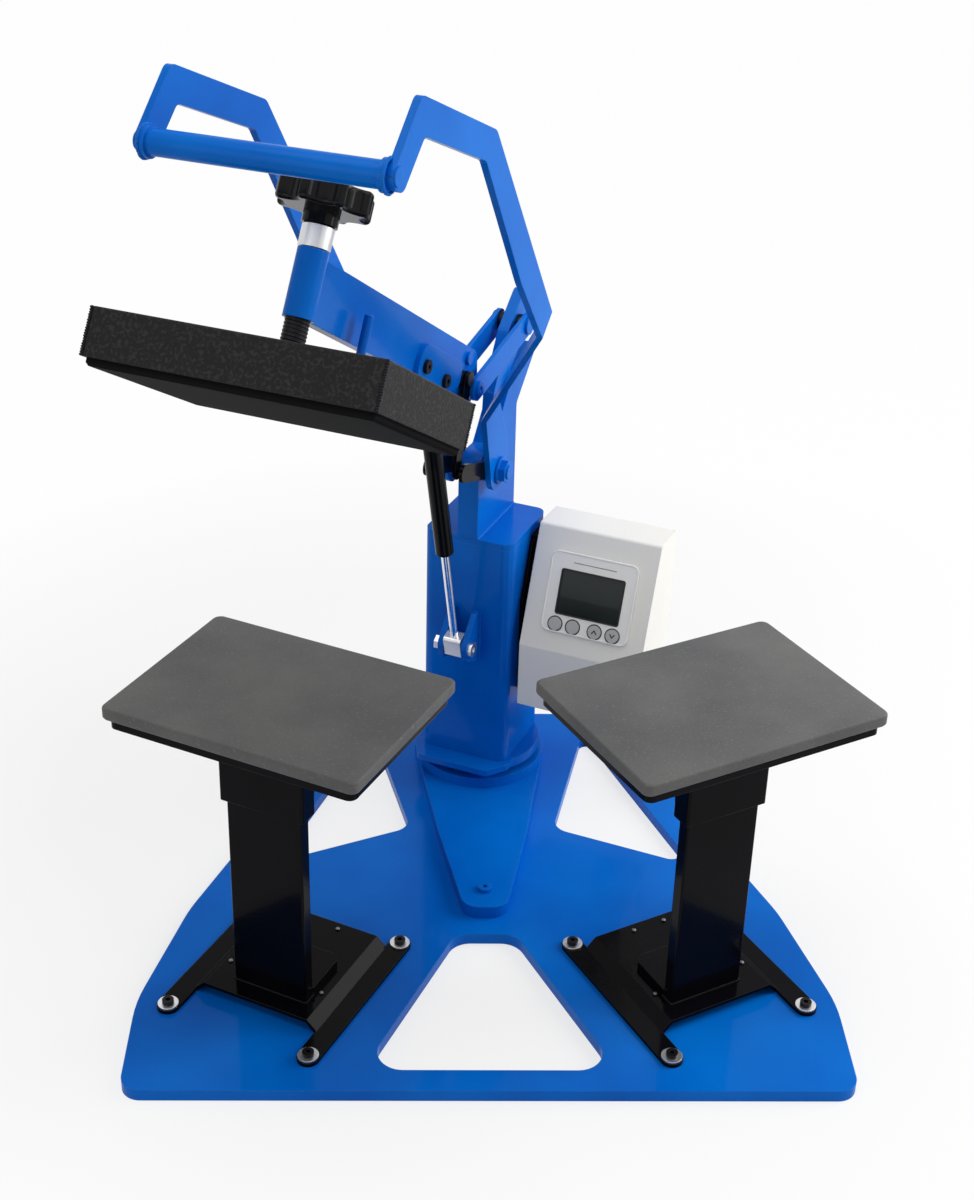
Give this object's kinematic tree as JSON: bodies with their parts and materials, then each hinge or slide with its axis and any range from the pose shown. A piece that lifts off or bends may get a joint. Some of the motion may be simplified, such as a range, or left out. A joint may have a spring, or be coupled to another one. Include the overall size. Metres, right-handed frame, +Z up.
{
  "type": "label heat press",
  "caption": "Swing-away label heat press: a raised heated platen on a turning column, with two padded tables on one floor plate.",
  "frame": {"origin": "on the column's swing axis, at the underside of the base plate", "axes": "+Z up along the swing axis; -Y towards the operator, where the two tables are; +X to the operator's right"},
  "size_m": [0.5482, 0.5039, 0.6943],
  "materials": {
    "blue_paint": "gloss",
    "black_paint": "gloss",
    "textured_black": "fine texture, matt",
    "plated_steel": "zinc plated",
    "black_steel": "black oxide",
    "bright_rod": "polished",
    "spring_black": "satin",
    "silicone_pad": "matt",
    "cast_platen": "dark non-stick coat, satin",
    "heater": "dull",
    "insulation": "fibre board",
    "bronze": "bearing bronze",
    "black_plastic": "satin",
    "knob_plastic": "gloss",
    "light_paint": "fine satin",
    "panel_film": "satin film",
    "key_plastic": "satin",
    "display_glass": "clear over a dark display",
    "board_green": "solder mask"
  },
  "bodies": {
    "stand": {"base_plate": "blue_paint", "spindle_strut": "blue_paint", "strut_screws": "plated_steel", "bearing_disc": "blue_paint", "thrust_washer": "black_plastic", "spindle": "plated_steel", "spindle_nut": "plated_steel", "foot_bracket_left": "black_paint", "foot_bracket_right": "black_paint", "bracket_screws": "black_steel", "bracket_washers": "plated_steel", "post_left": "black_paint", "post_right": "black_paint", "table_plate_left": "black_paint", "table_plate_right": "black_paint", "table_pad_left": "silicone_pad", "table_pad_right": "silicone_pad"},
    "head": {"column_flange": "blue_paint", "column_tube": "blue_paint", "column_cap": "blue_paint", "spindle_bushings": "bronze", "mast": "blue_paint", "spring_lugs": "blue_paint", "spring_lug_bolt": "plated_steel", "handle_pivot_bolt": "blue_paint", "control_mount": "black_paint", "control_housing": "light_paint", "control_panel": "panel_film", "display_window": "display_glass", "circuit_board": "board_green", "cord_gland": "black_plastic"},
    "arm": {"arm_plate": "blue_paint", "arm_sleeve": "blue_paint", "screw_collar": "plated_steel", "pivot_bars": "blue_paint", "arm_pivot_pin": "blue_paint", "bar_bolt": "plated_steel", "spring_brackets": "blue_paint", "arm_bolts": "black_steel", "arm_end_bolt": "blue_paint"},
    "platen": {"platen_cover": "textured_black", "heat_plate": "cast_platen", "heating_element": "heater", "platen_insulation": "insulation", "pressure_screw": "black_steel", "guide_pin": "blue_paint"},
    "knob": {"pressure_knob": "knob_plastic"},
    "handle": {"handle_plate_left": "blue_paint", "handle_plate_right": "blue_paint", "grip_bar": "blue_paint", "handle_cranks": "black_paint"},
    "links": {"drive_links": "black_paint"},
    "spring_lower": {"spring_eye": "plated_steel", "spring_rod": "bright_rod"},
    "spring_upper": {"spring_cylinder": "spring_black"},
    "start_key": {"key_start": "key_plastic"},
    "set_key": {"key_set": "key_plastic"},
    "up_key": {"key_up": "key_plastic"},
    "down_key": {"key_down": "key_plastic"},
    "rocker": {"power_rocker": "black_plastic"}
  },
  "joints": [
    {"name": "head_swing", "type": "hinge", "parent": "stand", "child": "head", "pos_m": [0, 0, 0], "axis": [0, 0, 1], "range_deg": [-2.4, 51.4]},
    {"name": "arm_lift", "type": "hinge", "parent": "head", "child": "arm", "pos_m": [0.01908, 0.04186, 0.421], "axis": [0.91, -0.4147, 0], "range_deg": [0, 30.5], "stiffness_Nm_per_rad": 20, "springref_deg": -85.94},
    {"name": "handle_pull", "type": "hinge", "parent": "head", "child": "handle", "pos_m": [-0.0112, -0.02457, 0.32], "axis": [0.91, -0.4147, 0], "range_deg": [0, 50]},
    {"name": "link_turn", "type": "hinge", "parent": "arm", "child": "links", "pos_m": [-0.02891, -0.06343, 0.41372], "axis": [0.91, -0.4147, 0], "range_deg": [-41.91, 0]},
    {"name": "spring_tilt", "type": "hinge", "parent": "head", "child": "spring_lower", "pos_m": [-0.02488, -0.0546, 0.165], "axis": [0.91, -0.4147, 0], "range_deg": [-0.2745, 0]},
    {"name": "spring_stroke", "type": "slide", "parent": "spring_lower", "child": "spring_upper", "axis": [-0.1032, -0.2265, 0.9685], "range_m": [-0.08949, 0]},
    {"name": "platen_press", "type": "slide", "parent": "arm", "child": "platen", "axis": [-0.2105, -0.4618, -0.8616], "range_m": [0, 0.01]},
    {"name": "knob_turn", "type": "hinge", "parent": "arm", "child": "knob", "pos_m": [-0.11775, -0.25839, 0.60956], "axis": [-0.2105, -0.4618, -0.8616], "range_deg": [0, 1440]},
    {"name": "press_start_key", "type": "slide", "parent": "head", "child": "start_key", "axis": [0.3856, 0.8461, -0.368], "range_m": [0, 0.0008], "stiffness_N_per_m": 400, "springref_m": -0.0005},
    {"name": "press_set_key", "type": "slide", "parent": "head", "child": "set_key", "axis": [0.3856, 0.8461, -0.368], "range_m": [0, 0.0008], "stiffness_N_per_m": 400, "springref_m": -0.0005},
    {"name": "press_up_key", "type": "slide", "parent": "head", "child": "up_key", "axis": [0.3856, 0.8461, -0.368], "range_m": [0, 0.0008], "stiffness_N_per_m": 400, "springref_m": -0.0005},
    {"name": "press_down_key", "type": "slide", "parent": "head", "child": "down_key", "axis": [0.3856, 0.8461, -0.368], "range_m": [0, 0.0008], "stiffness_N_per_m": 400, "springref_m": -0.0005},
    {"name": "flip_rocker", "type": "hinge", "parent": "head", "child": "rocker", "pos_m": [0.14661, -0.04483, 0.128], "axis": [0.4147, 0.91, 0], "range_deg": [0, 12]}
  ],
  "couplings": [
    {"joint": "handle_pull", "follows": "arm_lift", "ratio": 1.6393},
    {"joint": "link_turn", "follows": "arm_lift", "ratio": -1.3741},
    {"joint": "spring_tilt", "follows": "arm_lift", "ratio": -0.009},
    {"joint": "spring_stroke", "follows": "arm_lift", "m_per_rad": -0.16811},
    {"joint": "knob_turn", "follows": "platen_press", "rad_per_m": 2513.3}
  ]
}
